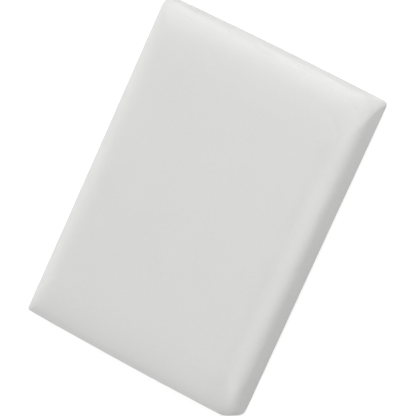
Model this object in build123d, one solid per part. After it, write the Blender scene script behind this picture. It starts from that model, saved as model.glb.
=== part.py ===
from build123d import *
import os

# Nail buffer block: a foam slab with an abrasive sheet bonded over each broad face.
# All sizes are in millimetres. X runs across the block, Y along it and Z up through it.
# The origin is the centre of the underside, which is the surface that the block rests on.

# Overall sizes of the finished block
WIDTH = 25.0
LENGTH = 36.5
THICKNESS = 10.0

# The rolled edge round each broad face: how far it reaches in from the edge of the block,
# and how far down from the face. The rolls over the short ends are longer and gentler.
SIDE_ROLL_REACH = 2.4
SIDE_ROLL_DEPTH = 3.3
END_ROLL_REACH = 5.0
END_ROLL_DEPTH = 3.5

# Each sheet is trimmed this far below its own face, where it meets the bare foam band
SHEET_TRIM_DEPTH = 1.6

# The coats of each sheet, from the worked surface inwards, with their thicknesses.
# The upper sheet carries fine grain and the lower sheet coarse grain.
TOP_COATS = {
    "top_stearate_coat": 0.04,
    "top_grain_coat": 0.12,
    "top_make_coat": 0.05,
    "top_backing_paper": 0.20,
    "top_adhesive_film": 0.10,
}
BOTTOM_COATS = {
    "bottom_stearate_coat": 0.04,
    "bottom_grain_coat": 0.20,
    "bottom_make_coat": 0.06,
    "bottom_backing_paper": 0.20,
    "bottom_adhesive_film": 0.10,
}


def rolled_section(plane, span, roll_reach, roll_depth, inset):
    """Rounded rectangle on a plane, its four corners quarter ellipses, set in all round.

    The section is centred on the block's mid-height.
    """
    half_span = span / 2 - inset
    half_height = THICKNESS / 2 - inset
    reach = roll_reach - inset
    depth = roll_depth - inset
    flat = half_span - reach
    side = half_height - depth
    with BuildSketch(plane) as section:
        with BuildLine():
            Line((-flat, half_height), (flat, half_height))
            EllipticalCenterArc((flat, side), reach, depth, 0, arc_size=90)
            Line((half_span, side), (half_span, -side))
            EllipticalCenterArc((flat, -side), reach, depth, 270, arc_size=90)
            Line((flat, -half_height), (-flat, -half_height))
            EllipticalCenterArc((-flat, -side), reach, depth, 180, arc_size=90)
            Line((-half_span, -side), (-half_span, side))
            EllipticalCenterArc((-flat, side), reach, depth, 90, arc_size=90)
        make_face()
    return section.sketch


def rolled_block(inset):
    """The block's rolled outer shape, or the surface that lies an inset below it."""
    across = rolled_section(Plane.XZ, WIDTH, SIDE_ROLL_REACH, SIDE_ROLL_DEPTH, inset)
    along = rolled_section(Plane.YZ, LENGTH, END_ROLL_REACH, END_ROLL_DEPTH, inset)
    cross_prism = extrude(across, LENGTH / 2, both=True)
    length_prism = extrude(along, WIDTH / 2, both=True)
    return Pos(0, 0, THICKNESS / 2) * (cross_prism & length_prism)


def slab_between(low, high):
    """A slab wider than the block, between two heights."""
    height = high - low
    return Pos(0, 0, low + height / 2) * Box(2 * WIDTH, 2 * LENGTH, height)


def sheet_coats(coats, zone):
    """Solids of one sheet's coats, worked surface first, kept inside the sheet's zone."""
    solids = {}
    outer_inset = 0.0
    for name, thickness in coats.items():
        inner_inset = outer_inset + thickness
        shell = rolled_block(outer_inset) - rolled_block(inner_inset)
        solids[name] = shell & zone
        outer_inset = inner_inset
    return solids


def foam_core(top_zone, band_zone, bottom_zone):
    """The foam: its full width in the bare band, and stepped in under each sheet."""
    under_top = rolled_block(sum(TOP_COATS.values())) & top_zone
    band = rolled_block(0.0) & band_zone
    under_bottom = rolled_block(sum(BOTTOM_COATS.values())) & bottom_zone
    return band + under_top + under_bottom


def build():
    """Every piece of the block, by name."""
    top_trim = THICKNESS - SHEET_TRIM_DEPTH
    bottom_trim = SHEET_TRIM_DEPTH
    top_zone = slab_between(top_trim, 2 * THICKNESS)
    band_zone = slab_between(bottom_trim, top_trim)
    bottom_zone = slab_between(-THICKNESS, bottom_trim)
    pieces = {"foam_core": foam_core(top_zone, band_zone, bottom_zone)}
    pieces.update(sheet_coats(TOP_COATS, top_zone))
    pieces.update(sheet_coats(BOTTOM_COATS, bottom_zone))
    return pieces


os.makedirs("parts", exist_ok=True)
for piece_name, piece in build().items():
    export_step(piece, "parts/" + piece_name + ".step")
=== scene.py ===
"""Nail buffer block: a white foam slab with an abrasive sheet bonded over each broad face."""

import bpy
import numpy as np
from bpy.props import FloatProperty, FloatVectorProperty, PointerProperty
from mathutils import Matrix, Vector


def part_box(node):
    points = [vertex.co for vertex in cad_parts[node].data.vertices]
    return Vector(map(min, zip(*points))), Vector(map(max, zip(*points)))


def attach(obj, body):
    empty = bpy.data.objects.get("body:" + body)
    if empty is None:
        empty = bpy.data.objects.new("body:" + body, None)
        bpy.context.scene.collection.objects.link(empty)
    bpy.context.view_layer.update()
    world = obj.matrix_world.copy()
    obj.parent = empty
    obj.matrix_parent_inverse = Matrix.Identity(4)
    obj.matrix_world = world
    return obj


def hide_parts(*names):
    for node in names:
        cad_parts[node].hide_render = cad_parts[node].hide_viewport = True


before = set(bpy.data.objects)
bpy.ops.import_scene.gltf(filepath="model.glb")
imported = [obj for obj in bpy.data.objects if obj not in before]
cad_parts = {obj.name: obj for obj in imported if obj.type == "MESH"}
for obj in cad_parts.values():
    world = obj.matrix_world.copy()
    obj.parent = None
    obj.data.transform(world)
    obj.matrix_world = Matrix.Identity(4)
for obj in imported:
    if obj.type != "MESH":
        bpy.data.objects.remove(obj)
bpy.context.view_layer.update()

bl_info = {
    "name": "Nail Buffer Block",
    "version": (1, 0, 0),
    "blender": (4, 5, 0),
    "location": "3D View > Sidebar > Buffer Block",
    "description": "Builds a foam buffer block and its two bonded abrasive sheets",
    "category": "Object",
}

MM = 0.001
BODY = "root"
AXES = ("x", "y")

# Each sheet's coats, from the worked surface inwards: the CAD node, the piece that stands for it
# and the record's material slot.
SHEETS = {
    "fine": (
        ("top_stearate_coat", "fine_working_coat", "fine_face"),
        ("top_grain_coat", "fine_grain_bed", "fine_grain_coat"),
        ("top_make_coat", "fine_make_coat", "make_coat"),
        ("top_backing_paper", "fine_backing_paper", "backing_paper"),
        ("top_adhesive_film", "fine_adhesive_film", "adhesive_film"),
    ),
    "coarse": (
        ("bottom_stearate_coat", "coarse_working_coat", "coarse_face"),
        ("bottom_grain_coat", "coarse_grain_bed", "coarse_grain_coat"),
        ("bottom_make_coat", "coarse_make_coat", "make_coat"),
        ("bottom_backing_paper", "coarse_backing_paper", "backing_paper"),
        ("bottom_adhesive_film", "coarse_adhesive_film", "adhesive_film"),
    ),
}

# Cells across and along each kind of surface. The working coats' are about 0.1 mm, near one fine
# grain. Surfaces that another piece covers have no grain to carry, so theirs are wider.
COAT_CELLS = (256, 344)
COAT_UNDERSIDE_CELLS = (64, 86)
LAYER_CELLS = (48, 68)
FOAM_CELLS = (200, 288)
FOAM_CAP_CELLS = (50, 72)
FOAM_LEVELS = 56

# Where each random pattern starts
SWELL_SEEDS = {"fine": 11, "coarse": 12}
GRAIN_SEEDS = {"fine": 32, "coarse": 33}
FOAM_SEED = 21


def linear(hex_colour):
    """An sRGB hex colour, such as E8E8E6, as linear red, green and blue."""
    channels = np.array([int(hex_colour[i : i + 2], 16) for i in (0, 2, 4)]) / 255
    low = channels / 12.92
    high = ((channels + 0.055) / 1.055) ** 2.4
    return tuple(float(c) for c in np.where(channels <= 0.04045, low, high))


# ---------------------------------------------------------------------------
# Sizes of the block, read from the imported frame
# ---------------------------------------------------------------------------


def node_points(node):
    """The corners of a CAD node's mesh, as an array with a row for each."""
    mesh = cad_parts[node].data
    points = np.empty(3 * len(mesh.vertices), np.float32)
    mesh.vertices.foreach_get("co", points)
    return points.reshape(-1, 3).astype(float)


def read_rolls(foam, face_coat):
    """How far each rolled edge reaches in from the side, and how far down from the face.

    The flat part of the face ends where the roll starts, and the upright part of the foam band
    ends where the roll ends, so both are read from the points that lie on those flats.
    """
    close = 0.002 * MM
    top = face_coat[:, 2].max()
    face = face_coat[face_coat[:, 2] > top - close]
    rolls = {}
    for axis, name in enumerate(AXES):
        half = foam[:, axis].max()
        upright = foam[foam[:, axis] > half - close]
        reach = half - face[:, axis].max()
        rolls[name] = {"half": half, "reach": reach, "depth": top - upright[:, 2].max()}
    return rolls


ROLLS = read_rolls(node_points("foam_core"), node_points("top_stearate_coat"))
TOP_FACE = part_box("top_stearate_coat")[1].z
BOTTOM_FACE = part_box("bottom_stearate_coat")[0].z
TRIM_DEPTH = TOP_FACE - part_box("top_stearate_coat")[0].z


def face_height(side, drop):
    """The height of a place that has dropped that far from the fine face or the coarse one."""
    return TOP_FACE - drop if side == "fine" else BOTTOM_FACE + drop


def coat_insets(side):
    """How deep each coat's outer and inner surfaces lie below the worked surface."""
    boxes = [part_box(node) for node, _, _ in SHEETS[side]] + [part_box("foam_core")]
    if side == "fine":
        depths = [TOP_FACE - high.z for _, high in boxes]
    else:
        depths = [low.z - BOTTOM_FACE for low, _ in boxes]
    return list(zip(depths[:-1], depths[1:]))


# ---------------------------------------------------------------------------
# The block's shape as formulas
# ---------------------------------------------------------------------------

# The eased roll reaches this many times further in than the CAD's ellipse, and starts as this power,
# which keeps it within 0.07 mm of the ellipse.
EASED_REACH = 1.33
EASE = 2.8

ROLL_SAMPLES = 4001  # places along half a face, from which the evenly spaced ones are picked
SWELL_WAVES = 14
SWELL_LENGTHS = (4 * MM, 14 * MM)  # shortest and longest wave over a face
GRAIN_SPREAD = 5  # standard deviations between the lowest and the highest grain


def roll_half_width(axis, drop, inset):
    """Half the block's width across an axis, at a drop below the face of an inset surface.

    This is roll_drop the other way round.
    """
    roll = ROLLS[axis]
    reach = EASED_REACH * roll["reach"] - inset
    depth = roll["depth"] - inset
    up = np.clip((depth - drop) / depth, 0, 1)
    return roll["half"] - inset - reach * (1 - (1 - up**2) ** (1 / EASE))


def roll_drop(axis, position, inset):
    """How far an inset surface has dropped below its face at a distance from the centre line.

    The roll is a quarter ellipse that starts as a higher power, so the flat eases into it
    without a line: depth times one less the root of one less the share of the reach to the power
    EASE. Both the reach and the depth shrink by the inset.
    """
    roll = ROLLS[axis]
    reach = EASED_REACH * roll["reach"]
    depth = roll["depth"] - inset
    over = np.clip((np.abs(position) - (roll["half"] - reach)) / (reach - inset), 0, 1)
    return depth * (1 - np.sqrt(1 - over**EASE))


def stations(axis, inset, count):
    """Places across an axis, evenly spaced along the surface from one trimmed rim to the other.

    The surface's length is added up over many samples, which crowd towards the rim, where the
    roll is steepest, by a square root.
    """
    rim = float(roll_half_width(axis, TRIM_DEPTH - inset, inset))
    half = np.sqrt(np.linspace(0, 1, ROLL_SAMPLES)) * rim
    drop = roll_drop(axis, half, inset)
    along = np.concatenate([[0], np.cumsum(np.hypot(np.diff(half), np.diff(drop)))])
    places = np.linspace(-along[-1], along[-1], count + 1)
    return np.sign(places) * np.interp(np.abs(places), along, half)


def opening_radius(drop, largest, cut, upright_at, opens_at):
    """A corner's radius at a drop below a face.

    It opens as the square root of the drop to its largest, over the roll, and then closes
    smoothly to the cut corner's own small radius by the depth where the corner stands upright.
    """
    opened = np.sqrt(np.clip(drop / opens_at, 0, 1))
    closing = np.clip((drop - opens_at) / (upright_at - opens_at), 0, 1)
    smooth = closing * closing * (3 - 2 * closing)
    return opened * (largest + (cut - largest) * smooth)


def corner_radius(height, x, y, shape):
    """Radius of the block's corners seen from above, at a height: the larger that either face asks for.

    The two corners of the +X side are rubbed softer than the others, from the fine face down, and
    the one at its +Y end the most.
    """
    soft = x > 0
    cut = np.where(soft, shape.soft_corner_radius, shape.corner_radius)
    soft_blend = np.where(y > 0, shape.soft_corner_blend, shape.near_corner_blend)
    largest = np.where(soft, soft_blend, shape.corner_blend)
    upright_at = np.where(soft, shape.soft_corner_upright_at, shape.corner_upright_at)
    opens_at = shape.corner_opens_at
    fine = opening_radius(TOP_FACE - height, largest, cut, upright_at, opens_at)
    coarse = opening_radius(
        height - BOTTOM_FACE, shape.corner_blend, cut, shape.corner_upright_at, opens_at
    )
    middle = (TOP_FACE + BOTTOM_FACE) / 2
    return np.where(height > middle, fine, np.maximum(coarse, np.where(soft, fine, 0)))


def round_corners(x, y, half_x, half_y, radius):
    """Draws the points near a rectangle's corners in to a quarter circle of that radius."""
    beyond_x = np.abs(x) - (half_x - radius)
    beyond_y = np.abs(y) - (half_y - radius)
    inside = (beyond_x > 0) & (beyond_y > 0) & (radius > 0)
    length = np.where(inside, np.hypot(beyond_x, beyond_y), 1)
    share = np.where(inside, np.maximum(beyond_x, beyond_y) / length, 1)
    rounded_x = np.sign(x) * np.where(inside, half_x - radius + beyond_x * share, np.abs(x))
    rounded_y = np.sign(y) * np.where(inside, half_y - radius + beyond_y * share, np.abs(y))
    return rounded_x, rounded_y


def settle(x, y, z, shape):
    """Points with the slight unevenness that cutting and handling give to the soft block.

    The long sides are drawn in by a parabola towards the middle of their length, and the short
    ends fall back by a parabola towards the corners, so nothing leaves the block's box.
    """
    x, y, z = (values.ravel() for values in np.broadcast_arrays(x, y, z))
    along = y / ROLLS["y"]["half"]
    across = x / ROLLS["x"]["half"]
    waist = shape.side_waist * (1 - along**2) * across
    bow = shape.end_bow * across**2 * along
    return np.stack([x - waist, y - bow, z], axis=1)


def swell(x, y, depth, seed):
    """Long low waves over a face, from none to their full depth.

    They are a sum of cosines in random directions, brought to a spread of one and cut off at two.
    """
    rng = np.random.default_rng(seed)
    angle = rng.uniform(0, 2 * np.pi, SWELL_WAVES)
    length = rng.uniform(*SWELL_LENGTHS, SWELL_WAVES)
    start = rng.uniform(0, 2 * np.pi, SWELL_WAVES)
    along = x[..., None] * np.cos(angle) + y[..., None] * np.sin(angle)
    height = np.cos(2 * np.pi * along / length + start).sum(-1) / np.sqrt(SWELL_WAVES / 2)
    return depth * (0.5 - 0.25 * np.clip(height, -2, 2))


def grain_noise(rows, columns, passes, seed):
    """Random heights on a grid, each averaged with its neighbours, between 0 and 1."""
    height = np.random.default_rng(seed).standard_normal((rows, columns))
    for _ in range(passes):
        for axis in (0, 1):
            height = (np.roll(height, 1, axis) + 2 * height + np.roll(height, -1, axis)) / 4
    height = (height - height.mean()) / height.std()
    return np.clip(0.5 + height / GRAIN_SPREAD, 0, 1)


# ---------------------------------------------------------------------------
# Meshes from grids
# ---------------------------------------------------------------------------

SHARP_ANGLE = np.radians(50)  # faces that meet more sharply than this keep a crisp edge


def grid_index(cells, start=0):
    """The numbers of a grid's points, row by row from start, for so many cells across and along."""
    columns, rows = cells
    return start + np.arange((rows + 1) * (columns + 1)).reshape(rows + 1, columns + 1)


def grid_quads(index):
    """Four corners for each cell of a grid of point numbers."""
    return np.stack([index[:-1, :-1], index[:-1, 1:], index[1:, 1:], index[1:, :-1]], -1).reshape(-1, 4)


def grid_rim(index):
    """The grid's edge points in order, once round it, without repeating a corner."""
    return np.concatenate([index[0, :-1], index[:-1, -1], index[-1, :0:-1], index[:0:-1, 0]])


def band_quads(lower, upper):
    """Four corners for each cell between two closed loops with as many points."""
    return np.stack([lower, np.roll(lower, -1), np.roll(upper, -1), upper], -1)


def band_triangles(fine, coarse):
    """Triangles between two closed loops, of which the first has a whole number of times more points.

    Each coarse edge takes a fan of fine edges from each of its two ends, and one triangle between.
    """
    ratio = len(fine) // len(coarse)
    near = ratio // 2
    step = np.arange(len(fine))
    group = step // ratio
    tip = np.where(step % ratio < near, coarse[group], np.roll(coarse, -1)[group])
    fans = np.stack([fine, np.roll(fine, -1), tip], -1)
    middle = np.stack([fine[near::ratio], np.roll(coarse, -1), coarse], -1)
    return np.concatenate([fans, middle])


def flipped(faces):
    """The same faces seen from the other side."""
    return faces[:, ::-1]


def make_piece(name, points, quads, triangles):
    """A mesh object from points and faces, smooth over its surfaces and crisp at its cut rims."""
    mesh = bpy.data.meshes.new(name)
    sizes = np.concatenate([np.full(len(quads), 4), np.full(len(triangles), 3)])
    corners = np.concatenate([quads.ravel(), triangles.ravel()]).astype(np.int32)
    mesh.vertices.add(len(points))
    mesh.vertices.foreach_set("co", points.astype(np.float32).ravel())
    mesh.loops.add(len(corners))
    mesh.loops.foreach_set("vertex_index", corners)
    mesh.polygons.add(len(sizes))
    mesh.polygons.foreach_set("loop_start", (np.cumsum(sizes) - sizes).astype(np.int32))
    mesh.update(calc_edges=True)
    mesh.polygons.foreach_set("use_smooth", np.ones(len(sizes), bool))
    if mesh.validate():
        raise ValueError(f"{name} has faces that don't make a sound mesh")
    mesh.set_sharp_from_angle(angle=SHARP_ANGLE)
    piece = bpy.data.objects.new(name, mesh)
    bpy.context.scene.collection.objects.link(piece)
    return piece


def sheet_points(inset, cells, side, shape, relief=0.0):
    """Points of one surface of a sheet on a grid, with its rim on the trim line.

    Each level of the rolled edge is a rectangle with rounded corners, and a point's level is the
    larger of the drops that the two rolls ask for there. The face's swell fades out towards the
    rim, and the grain's relief is let down into the surface.
    """
    columns, rows = cells
    x, y = np.meshgrid(stations("x", inset, columns), stations("y", inset, rows))
    drop = np.maximum(roll_drop("x", x, inset), roll_drop("y", y, inset))
    half_x = roll_half_width("x", drop, inset)
    half_y = roll_half_width("y", drop, inset)
    radius = corner_radius(face_height(side, drop + inset), x, y, shape)
    x, y = round_corners(x, y, half_x, half_y, np.where(drop > 0, radius, 0))
    fade = 1 - np.clip(drop / (TRIM_DEPTH - inset), 0, 1) ** 2
    drop = drop + inset + swell(x, y, shape.face_swell, SWELL_SEEDS[side]) * fade
    drop = np.minimum(drop + relief, TRIM_DEPTH)
    drop[[0, -1], :] = TRIM_DEPTH
    drop[:, [0, -1]] = TRIM_DEPTH
    return settle(x, y, face_height(side, drop), shape)


def make_coat(name, side, insets, cells, inner_cells, shape, relief=0.0):
    """A coat of one sheet: its outer surface, its inner surface, and the cut rim between them."""
    outer = sheet_points(insets[0], cells, side, shape, relief)
    inner = sheet_points(insets[1], inner_cells, side, shape)
    outer_index = grid_index(cells)
    inner_index = grid_index(inner_cells, len(outer))
    quads = np.concatenate([grid_quads(outer_index), flipped(grid_quads(inner_index))])
    triangles = flipped(band_triangles(grid_rim(outer_index), grid_rim(inner_index)))
    if side == "coarse":
        quads, triangles = flipped(quads), flipped(triangles)
    return make_piece(name, np.concatenate([outer, inner]), quads, triangles)


def foam_band(shape, relief):
    """Points of the foam's sides, as closed loops from the lower trim line up to the upper one.

    Each loop is the block's outline at that height, a rectangle with rounded corners whose half
    widths follow the two rolls. The cut cells' relief goes in from it, fading by the fourth root
    of a sine at the trim lines, and the first and last loops lie the joint's depth inside it.
    """
    columns, rows = FOAM_CELLS
    rim = grid_rim(grid_index(FOAM_CELLS))
    x, y = np.meshgrid(stations("x", 0.0, columns), stations("y", 0.0, rows))
    x_share, y_share = x.ravel()[rim] / x.max(), y.ravel()[rim] / y.max()
    low, high = face_height("coarse", TRIM_DEPTH), face_height("fine", TRIM_DEPTH)
    heights = np.linspace(low, high, FOAM_LEVELS)[:, None]
    drop = np.minimum(heights - BOTTOM_FACE, TOP_FACE - heights)
    half_x = roll_half_width("x", drop, 0.0)
    half_y = roll_half_width("y", drop, 0.0)
    x, y = x_share * half_x, y_share * half_y
    x, y = round_corners(x, y, half_x, half_y, corner_radius(heights, x, y, shape))
    fade = np.sin(np.pi * np.linspace(0, 1, FOAM_LEVELS))[:, None] ** 0.25
    inward = relief * fade
    inward[[0, -1]] = shape.joint_depth
    x = x - np.sign(x) * inward * np.isclose(np.abs(x_share), 1)
    y = y - np.sign(y) * inward * np.isclose(np.abs(y_share), 1)
    return settle(x, y, heights, shape)


def make_foam(name, shape, relief):
    """The foam: its sides, and at each end a ledge and a domed cap that carry a sheet."""
    band = foam_band(shape, relief)
    loops = np.arange(len(band)).reshape(FOAM_LEVELS, -1)
    points = [band]
    quads = [band_quads(lower, upper) for lower, upper in zip(loops[:-1], loops[1:])]
    triangles = []
    for side, loop in (("fine", loops[-1]), ("coarse", loops[0])):
        index = grid_index(FOAM_CAP_CELLS, sum(map(len, points)))
        points.append(sheet_points(coat_insets(side)[-1][1], FOAM_CAP_CELLS, side, shape))
        cap, ledge = grid_quads(index), band_triangles(loop, grid_rim(index))
        quads.append(cap if side == "fine" else flipped(cap))
        triangles.append(ledge if side == "fine" else flipped(ledge))
    return make_piece(name, np.concatenate(points), np.concatenate(quads), np.concatenate(triangles))


# ---------------------------------------------------------------------------
# Materials
# ---------------------------------------------------------------------------


def add_node(tree, kind, inputs=None, **properties):
    """Adds a node, sets its properties, and sets or links its inputs by name or number."""
    node = tree.nodes.new(kind)
    for name, value in properties.items():
        setattr(node, name, value)
    for name, value in (inputs or {}).items():
        if isinstance(value, bpy.types.NodeSocket):
            tree.links.new(value, node.inputs[name])
        else:
            node.inputs[name].default_value = value
    return node


def new_material(name):
    """An empty node material, its tree, and the object's own coordinates."""
    material = bpy.data.materials.new(name)
    material.use_nodes = True
    tree = material.node_tree
    tree.nodes.clear()
    return material, tree, add_node(tree, "ShaderNodeTexCoord").outputs["Object"]


def add_surface(tree, inputs):
    """A material's one shader, joined to its output."""
    shader = add_node(tree, "ShaderNodeBsdfPrincipled", inputs)
    add_node(tree, "ShaderNodeOutputMaterial", {"Surface": shader.outputs["BSDF"]})


def add_noise(tree, vector, size, detail, roughness):
    """Soft noise whose largest lumps are about that size in metres."""
    inputs = {"Vector": vector, "Scale": 1 / size, "Detail": detail, "Roughness": roughness}
    return add_node(tree, "ShaderNodeTexNoise", inputs).outputs["Fac"]


def add_product(tree, first, second):
    """One value times another."""
    return add_node(
        tree, "ShaderNodeMath", {0: first, 1: second}, operation="MULTIPLY"
    ).outputs["Value"]


def add_tint(tree, share, first, second):
    """A colour that goes from the first to the second as the share goes from 0 to 1."""
    colours = {"Factor": share, 6: (*first, 1.0), 7: (*second, 1.0)}
    return add_node(tree, "ShaderNodeMix", colours, data_type="RGBA").outputs[2]


def add_bump(tree, height, distance, strength, invert=False):
    """A normal that reads a height as so many metres of relief."""
    inputs = {"Strength": strength, "Distance": distance, "Height": height}
    return add_node(tree, "ShaderNodeBump", inputs, invert=invert).outputs["Normal"]


def abrasive_material(name, colour, hollow_shade_colour, grain, relief):
    """Stearated white aluminium oxide paper: resin-bonded grain under a dry soap coat.

    The soap coat dries to a dead matt, chalky white. It fills between the grains, so the
    grain shows only as fine soft points, with painted shade a little darker in the hollows: half
    way at most, and more where the coat runs thin, which drifts over about 5 mm. The coat's own
    dust makes lumps about two grains wide.
    """
    material, tree, coordinates = new_material(name)
    grains = add_node(
        tree,
        "ShaderNodeTexVoronoi",
        {"Vector": coordinates, "Scale": 1 / grain, "Randomness": 1.0, "Smoothness": 0.6},
        feature="SMOOTH_F1",
    ).outputs["Distance"]
    drift = add_noise(tree, coordinates, 5.0 * MM, 3.0, 0.5)
    dust = add_noise(tree, coordinates, 2.2 * grain, 2.0, 0.6)
    # painted shade: darker towards each grain's cell edge, in the hollows between grains
    hollow_shade = add_node(
        tree,
        "ShaderNodeMapRange",
        {"Value": grains, "From Min": 0.25, "From Max": 0.85, "To Max": 0.55},
    ).outputs["Result"]
    dull = add_node(
        tree, "ShaderNodeMapRange", {"Value": dust, "To Min": 0.82, "To Max": 0.94}
    ).outputs["Result"]
    height = add_node(
        tree, "ShaderNodeMath", {0: grains, 1: dust, 2: 0.5}, operation="MULTIPLY_ADD"
    ).outputs["Value"]
    add_surface(
        tree,
        {
            "Base Color": add_tint(tree, add_product(tree, hollow_shade, drift), colour, hollow_shade_colour),
            "Roughness": dull,
            "Normal": add_bump(tree, height, relief, 1.0, invert=True),
            "IOR": 1.47,
            "Diffuse Roughness": 0.6,
        },
    )
    return material


def foam_material(name, colour, pore_shade_colour, cell):
    """White closed-cell EVA foam, knife-cut: matt, slightly waxy, with fine cut-open cells.

    Each cell is darker, which is painted shade, and 0.02 mm deeper than the walls round it; the
    painted shade is stronger where the drift, of about 2.5 mm, is high.
    """
    material, tree, coordinates = new_material(name)
    walls = add_node(
        tree,
        "ShaderNodeTexVoronoi",
        {"Vector": coordinates, "Scale": 1 / cell, "Randomness": 1.0},
        feature="DISTANCE_TO_EDGE",
    ).outputs["Distance"]
    drift = add_noise(tree, coordinates, 2.5 * MM, 4.0, 0.55)
    # how far into an open cell: sets the painted shade inside the cells and their bump
    open_cell = add_node(
        tree,
        "ShaderNodeMapRange",
        {"Value": walls, "From Min": 0.02, "From Max": 0.35},
        interpolation_type="SMOOTHSTEP",
    ).outputs["Result"]
    add_surface(
        tree,
        {
            "Base Color": add_tint(tree, add_product(tree, open_cell, drift), colour, pore_shade_colour),
            "Roughness": 0.85,
            "Normal": add_bump(tree, open_cell, 0.02 * MM, 0.5, invert=True),
            "IOR": 1.48,
            "Diffuse Roughness": 0.4,
        },
    )
    return material


def layer_material(name, colour, shade, lump_mm, roughness, ior, stretch=(1, 1, 1)):
    """A layer inside the sheet, a base colour with a finer pattern of its own in a second shade."""
    material, tree, coordinates = new_material(name)
    mapping = add_node(tree, "ShaderNodeMapping", {"Vector": coordinates, "Scale": stretch})
    lumps = add_noise(tree, mapping.outputs["Vector"], lump_mm * MM, 4.0, 0.6)
    add_surface(
        tree,
        {
            "Base Color": add_tint(tree, lumps, linear(colour), linear(shade)),
            "Roughness": roughness,
            "Normal": add_bump(tree, lumps, 0.01 * MM, 0.4),
            "IOR": ior,
        },
    )
    return material


# Layers that the working coats cover, by slot. The lumps are the size of the pattern in each, and
# the stretch draws it out along the sheet.
LAYER_FINISHES = {
    # White fused alumina locked in urea resin: sugary, off-white, half gloss in the resin.
    "fine_grain_coat": {
        "name": "white_fused_alumina_fine_resin_bonded",
        "colour": "ECEBE6",
        "shade": "CFCDC4",
        "lump_mm": 0.09,
        "roughness": 0.55,
        "ior": 1.6,
    },
    "coarse_grain_coat": {
        "name": "white_fused_alumina_coarse_resin_bonded",
        "colour": "ECEBE6",
        "shade": "C9C7BD",
        "lump_mm": 0.16,
        "roughness": 0.55,
        "ior": 1.6,
    },
    # Cured urea resin, rolled on: a pale honey film with a soft gloss.
    "make_coat": {
        "name": "urea_resin_roll_coated",
        "colour": "E4DCC4",
        "shade": "D6CBAA",
        "lump_mm": 0.8,
        "roughness": 0.35,
        "ior": 1.55,
    },
    # Latex-saturated abrasive paper: off-white, matt, with fibres lying along the sheet.
    "backing_paper": {
        "name": "latex_paper_machine_finished",
        "colour": "E7E4DB",
        "shade": "D5D1C4",
        "lump_mm": 0.25,
        "stretch": (1, 0.25, 1),
        "roughness": 0.8,
        "ior": 1.5,
    },
    # Acrylic laminating adhesive, pressed between paper and foam: a clear, slightly yellow film.
    "adhesive_film": {
        "name": "acrylic_adhesive_film_laminated",
        "colour": "E9E6D8",
        "shade": "DEDAC6",
        "lump_mm": 1.2,
        "roughness": 0.25,
        "ior": 1.47,
    },
}


# ---------------------------------------------------------------------------
# Settings that a user would change
# ---------------------------------------------------------------------------


def length_setting(name, description, default, most, least=0.0):
    """A length, given in millimetres and kept in metres."""
    return FloatProperty(
        name=name,
        description=description,
        default=default * MM,
        min=least * MM,
        max=most * MM,
        precision=6,
        unit="LENGTH",
    )


def colour_setting(name, description, hex_colour):
    """A colour, given as sRGB hex and kept linear."""
    return FloatVectorProperty(
        name=name,
        description=description,
        default=linear(hex_colour),
        min=0.0,
        max=1.0,
        size=3,
        subtype="COLOR",
    )


def angle_setting(name, description, degrees):
    """An angle, given in degrees and kept in radians."""
    return FloatProperty(
        name=name, description=description, default=float(np.radians(degrees)), subtype="ANGLE"
    )


def level_setting(name, description, default, most):
    """A plain number from 0 up."""
    return FloatProperty(name=name, description=description, default=default, min=0.0, max=most)


class BufferBlockShape(bpy.types.PropertyGroup):
    """Sizes of the block's surface detail"""

    corner_radius: length_setting(
        "Cut corner radius",
        "Radius of the upright corners where the block was cut",
        default=0.2,
        least=0.05,
        most=1.0,
    )
    corner_blend: length_setting(
        "Rolled corner radius",
        "Largest corner radius over the rolled edge",
        default=1.3,
        least=0.1,
        most=2.0,
    )
    corner_opens_at: length_setting(
        "Corner opens by",
        "Drop below the face by which the rolled corner has its largest radius",
        default=0.35,
        least=0.1,
        most=1.0,
    )
    corner_upright_at: length_setting(
        "Corner upright at",
        "Drop below the face where the corner is down to its cut radius",
        default=2.2,
        least=1.0,
        most=4.0,
    )
    soft_corner_radius: length_setting(
        "Soft corner cut radius",
        "Upright radius of the two corners that are rubbed softer",
        default=0.35,
        least=0.05,
        most=1.5,
    )
    soft_corner_blend: length_setting(
        "Soft corner rolled radius",
        "Largest radius of the softest corner, at +X and +Y",
        default=3.0,
        least=0.1,
        most=4.0,
    )
    near_corner_blend: length_setting(
        "Near corner rolled radius",
        "Largest radius of the softer corner at +X and -Y",
        default=1.8,
        least=0.1,
        most=4.0,
    )
    soft_corner_upright_at: length_setting(
        "Soft corners upright at",
        "Drop below the fine face where the softer corners are down to their cut radius",
        default=7.5,
        least=1.0,
        most=9.0,
    )
    side_waist: length_setting(
        "Side waist",
        "How far each long side is drawn in at the middle of its length",
        default=0.02,
        most=0.3,
    )
    end_bow: length_setting(
        "End bow",
        "How far each short end falls back at its corners",
        default=0.11,
        most=0.3,
    )
    face_swell: length_setting(
        "Face unevenness",
        "Depth of the long low waves over each face",
        default=0.03,
        most=0.2,
    )
    fine_relief: length_setting(
        "Fine grain relief",
        "Height of the fine grain that stands through its coat",
        default=0.012,
        most=0.03,
    )
    coarse_relief: length_setting(
        "Coarse grain relief",
        "Height of the coarse grain that stands through its coat",
        default=0.03,
        most=0.03,
    )
    foam_relief: length_setting(
        "Foam relief",
        "Depth of the cut foam's open cells",
        default=0.02,
        most=0.1,
    )
    joint_depth: length_setting(
        "Joint depth",
        "Depth of the hairline where a sheet's trimmed rim meets the foam",
        default=0.008,
        most=0.1,
    )


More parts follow.
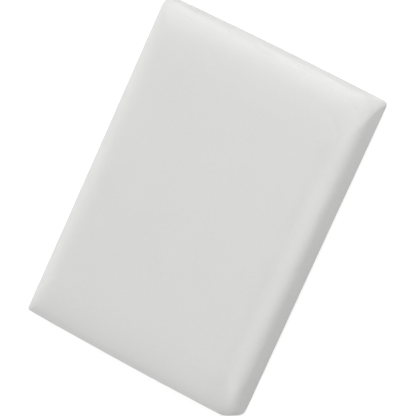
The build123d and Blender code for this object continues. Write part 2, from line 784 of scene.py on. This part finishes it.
class BufferBlockFinish(bpy.types.PropertyGroup):
    """Colours and grit of the block"""

    coat_colour: colour_setting("Working coat", "Colour of the dry soap coat over the grain", "E6E6E5")
    # The colour between the grains is painted shade in the working coat's hollows
    coat_hollow_shade: colour_setting(
        "Coat between grains", "Colour of the working coat down between the grains", "DADAD9"
    )
    foam_colour: colour_setting("Foam", "Colour of the cut foam", "E7E7E6")
    # The foam cells' colour is painted shade inside the open cells
    foam_pore_shade: colour_setting("Foam cells", "Colour inside the cut foam's open cells", "D8D8D7")
    fine_grain: length_setting(
        "Fine grain",
        "Width of the fine face's grains, as P180 paper has",
        default=0.082,
        least=0.02,
        most=0.5,
    )
    coarse_grain: length_setting(
        "Coarse grain",
        "Width of the coarse face's grains, as P100 paper has",
        default=0.162,
        least=0.02,
        most=0.5,
    )
    foam_cell: length_setting(
        "Foam cell", "Width of the foam's cells", default=0.14, least=0.02, most=1.0
    )


class BufferBlockStudio(bpy.types.PropertyGroup):
    """Floor, lights and camera"""

    floor_colour: colour_setting("Floor", "Colour of the plain floor", "C3C3C3")
    floor_glow: level_setting(
        "Floor glow", "Light that the opal floor gives to the block from below", default=0.065, most=5.0
    )
    floor_white: level_setting(
        "Floor white",
        "Brightness of the opal floor itself, high enough to wash out all but the closest shadow",
        default=0.68,
        most=5.0,
    )
    room_light: level_setting(
        "Room light", "Strength of the even light from the pale room", default=0.0, most=5.0
    )
    light_level: level_setting(
        "Light level", "Level of all the softboxes together", default=1.0, most=10.0
    )
    lens: FloatProperty(
        name="Lens",
        description="Focal length of the camera's long portrait lens",
        default=225.4,
        subtype="DISTANCE_CAMERA",
    )
    camera_turn: angle_setting(
        "Camera turn", "Direction to the camera seen from above, from +X towards +Y", degrees=31.92
    )
    camera_rise: angle_setting(
        "Camera rise", "Angle of the camera above the floor", degrees=70.337
    )
    camera_roll: angle_setting(
        "Camera roll", "Turn of the camera about its line of sight", degrees=-96.037
    )
    camera_distance: length_setting(
        "Camera distance",
        "From the camera to the block's middle",
        default=270.38,
        least=50.0,
        most=2000.0,
    )


# ---------------------------------------------------------------------------
# Operators
# ---------------------------------------------------------------------------


def finish_piece(piece, material, node):
    """Gives a piece its material and ties it to the frame."""
    piece.data.materials.append(material)
    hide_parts(node)
    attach(piece, BODY)


class BUFFER_OT_foam(bpy.types.Operator):
    """Make the foam block that the sheets are bonded to"""

    bl_idname = "buffer_block.foam"
    bl_label = "Foam block"

    def execute(self, context):
        shape = context.scene.buffer_block_shape
        finish = context.scene.buffer_block_finish
        cells = grain_noise(FOAM_LEVELS, 2 * sum(FOAM_CELLS), 1, FOAM_SEED)
        foam = make_foam("foam_block", shape, shape.foam_relief * cells)
        material = foam_material(
            "white_eva_foam_knife_cut", finish.foam_colour, finish.foam_pore_shade, finish.foam_cell
        )
        finish_piece(foam, material, "foam_core")
        return {"FINISHED"}


class BUFFER_OT_working_coats(bpy.types.Operator):
    """Make the white working coat of each sheet, with its grain standing in relief"""

    bl_idname = "buffer_block.working_coats"
    bl_label = "Working coats"

    def execute(self, context):
        shape = context.scene.buffer_block_shape
        finish = context.scene.buffer_block_finish
        columns, rows = COAT_CELLS
        for side, relief, passes, grain in (
            ("fine", shape.fine_relief, 1, finish.fine_grain),
            ("coarse", shape.coarse_relief, 2, finish.coarse_grain),
        ):
            node, name, slot = SHEETS[side][0]
            heights = relief * grain_noise(rows + 1, columns + 1, passes, GRAIN_SEEDS[side])
            insets = coat_insets(side)[0]
            piece = make_coat(
                name, side, insets, COAT_CELLS, COAT_UNDERSIDE_CELLS, shape, heights
            )
            material = abrasive_material(
                f"stearated_aluminium_oxide_{side}",
                finish.coat_colour,
                finish.coat_hollow_shade,
                grain,
                relief,
            )
            finish_piece(piece, material, node)
        return {"FINISHED"}


class BUFFER_OT_bonded_layers(bpy.types.Operator):
    """Make the grain, resin, paper and adhesive layers that lie under each working coat"""

    bl_idname = "buffer_block.bonded_layers"
    bl_label = "Bonded layers"

    def execute(self, context):
        shape = context.scene.buffer_block_shape
        materials = {slot: layer_material(**finish) for slot, finish in LAYER_FINISHES.items()}
        for side, coats in SHEETS.items():
            for (node, name, slot), insets in list(zip(coats, coat_insets(side)))[1:]:
                piece = make_coat(name, side, insets, LAYER_CELLS, LAYER_CELLS, shape)
                finish_piece(piece, materials[slot], node)
        return {"FINISHED"}


class BUFFER_OT_studio(bpy.types.Operator):
    """Set up the pale floor, the soft lights and the camera"""

    bl_idname = "buffer_block.studio"
    bl_label = "Studio"

    def execute(self, context):
        scene = context.scene
        studio = scene.buffer_block_studio
        make_floor(studio)
        make_room(studio)
        make_lights(studio)
        make_camera(studio)
        scene.view_settings.view_transform = "Standard"
        scene.view_settings.look = "None"
        return {"FINISHED"}


# ---------------------------------------------------------------------------
# Stage
# ---------------------------------------------------------------------------

FLOOR_REACH = 2.0  # metres from the block's middle to each side of the floor
WHITE = (1.0, 1.0, 1.0, 1.0)

# Softboxes round the block: direction seen from above in degrees from +X towards +Y, height above
# the floor in degrees, distance and width in metres, and power in watts.
SOFTBOXES = {
    "overhead": (0, 90, 0.6, 0.3, 0.71),
    "high_right": (60, 67, 0.6, 0.25, 0.59),
    "close_high_right": (60, 67, 0.25, 0.12, 0.075),
    "close_right": (60, 45, 0.25, 0.12, 0.098),
    "far_end": (90, 45, 0.6, 0.25, 0.49),
    "near_end": (275, 25, 0.6, 0.25, 0.91),
    "low_far_left": (150, 8, 0.6, 0.25, 1.24),
    "low_near_left": (210, 8, 0.6, 0.25, 1.29),
    "low_near_end": (270, 8, 0.6, 0.25, 0.26),
    "low_right": (26, 8, 0.6, 0.25, 0.55),
    "low_far_right": (60, 8, 0.6, 0.25, 0.59),
}

# Where the camera looks: a little off the block's middle, half way up it, in millimetres
CAMERA_AIM_MM = (0.29, 0.149, 5.0)


def camera_or_light(tree, for_light, for_camera):
    """One value for the light that a stage surface gives, and another for how bright it looks itself."""
    rays = add_node(tree, "ShaderNodeLightPath").outputs["Is Camera Ray"]
    limits = {"Value": rays, "To Min": for_light, "To Max": for_camera}
    return add_node(tree, "ShaderNodeMapRange", limits).outputs["Result"]


def make_floor(studio):
    """A plain sheet of opal acrylic, far wider than the block, level with what the block rests on.

    The sheet is lit from beneath like a light table: seen directly it is an even near white, with
    hardly a shadow on it, while it sends only a little light up on to the block's sides.
    """
    corners = [(-1, -1), (1, -1), (1, 1), (-1, 1)]
    mesh = bpy.data.meshes.new("floor")
    points = [(x * FLOOR_REACH, y * FLOOR_REACH, BOTTOM_FACE) for x, y in corners]
    mesh.from_pydata(points, [], [(0, 1, 2, 3)])
    floor = bpy.data.objects.new("floor", mesh)
    bpy.context.scene.collection.objects.link(floor)
    material, tree, _ = new_material("opal_acrylic_light_table")
    add_surface(
        tree,
        {
            "Base Color": (*studio.floor_colour, 1.0),
            "Roughness": 0.9,
            "Specular IOR Level": 0.0,
            "Emission Color": WHITE,
            "Emission Strength": camera_or_light(tree, studio.floor_glow, studio.floor_white),
        },
    )
    mesh.materials.append(material)


def make_room(studio):
    """A white room behind everything, which lights the block only as much as its setting says."""
    room = bpy.data.worlds.new("pale_room")
    room.use_nodes = True
    tree = room.node_tree
    background = tree.nodes["Background"]
    background.inputs["Color"].default_value = WHITE
    strength = camera_or_light(tree, studio.room_light, 1.0)
    tree.links.new(strength, background.inputs["Strength"])
    bpy.context.scene.world = room


def stand(thing, turn, rise, distance, target=(0.0, 0.0, 0.0), roll=0.0):
    """Links a light or camera and stands it at a distance from a target, looking at it.

    The turn goes from +X towards +Y, the rise is the angle above the floor, and the roll is
    about the line of sight, all in radians.
    """
    flat = np.cos(rise)
    back = Vector((flat * np.cos(turn), flat * np.sin(turn), np.sin(rise)))
    facing = back.to_track_quat("Z", "Y").to_matrix().to_4x4()
    place = Matrix.Translation(Vector(target) + distance * back)
    thing.matrix_world = place @ facing @ Matrix.Rotation(roll, 4, "Z")
    bpy.context.scene.collection.objects.link(thing)


def make_lights(studio):
    """Softboxes round the block, all turned towards it."""
    for name, (turn, rise, distance, width, watts) in SOFTBOXES.items():
        light = bpy.data.lights.new(name, "AREA")
        light.shape = "DISK"
        light.size = width
        light.energy = watts * studio.light_level
        stand(bpy.data.objects.new(name, light), np.radians(turn), np.radians(rise), distance)


def make_camera(studio):
    """A long lens close to overhead, rolled so that the block is seen tilted on the table."""
    data = bpy.data.cameras.new("camera")
    data.lens = studio.lens
    data.sensor_width = 36.0
    data.clip_start = 0.01
    data.clip_end = 20.0
    camera = bpy.data.objects.new("camera", data)
    stand(
        camera,
        studio.camera_turn,
        studio.camera_rise,
        studio.camera_distance,
        [coordinate * MM for coordinate in CAMERA_AIM_MM],
        studio.camera_roll,
    )
    bpy.context.scene.camera = camera


# ---------------------------------------------------------------------------
# Panel and registration
# ---------------------------------------------------------------------------


class BUFFER_PT_panel(bpy.types.Panel):
    """Buttons and settings of the buffer block"""

    bl_idname = "BUFFER_PT_panel"
    bl_label = "Buffer Block"
    bl_space_type = "VIEW_3D"
    bl_region_type = "UI"
    bl_category = "Buffer Block"

    def draw(self, context):
        layout = self.layout
        for operator in OPERATORS:
            layout.operator(operator.bl_idname)
        for group in GROUPS:
            settings = getattr(context.scene, group)
            box = layout.box()
            for name in settings.__annotations__:
                box.prop(settings, name)


OPERATORS = (BUFFER_OT_studio, BUFFER_OT_foam, BUFFER_OT_working_coats, BUFFER_OT_bonded_layers)
GROUPS = {
    "buffer_block_shape": BufferBlockShape,
    "buffer_block_finish": BufferBlockFinish,
    "buffer_block_studio": BufferBlockStudio,
}


def register():
    for cls in (*GROUPS.values(), *OPERATORS, BUFFER_PT_panel):
        bpy.utils.register_class(cls)
    for name, group in GROUPS.items():
        setattr(bpy.types.Scene, name, PointerProperty(type=group))


def unregister():
    for name in GROUPS:
        delattr(bpy.types.Scene, name)
    for cls in reversed((*GROUPS.values(), *OPERATORS, BUFFER_PT_panel)):
        bpy.utils.unregister_class(cls)


def main():
    register()
    bpy.ops.buffer_block.studio()
    bpy.ops.buffer_block.foam()
    bpy.ops.buffer_block.working_coats()
    bpy.ops.buffer_block.bonded_layers()


if __name__ == "__main__":
    main()
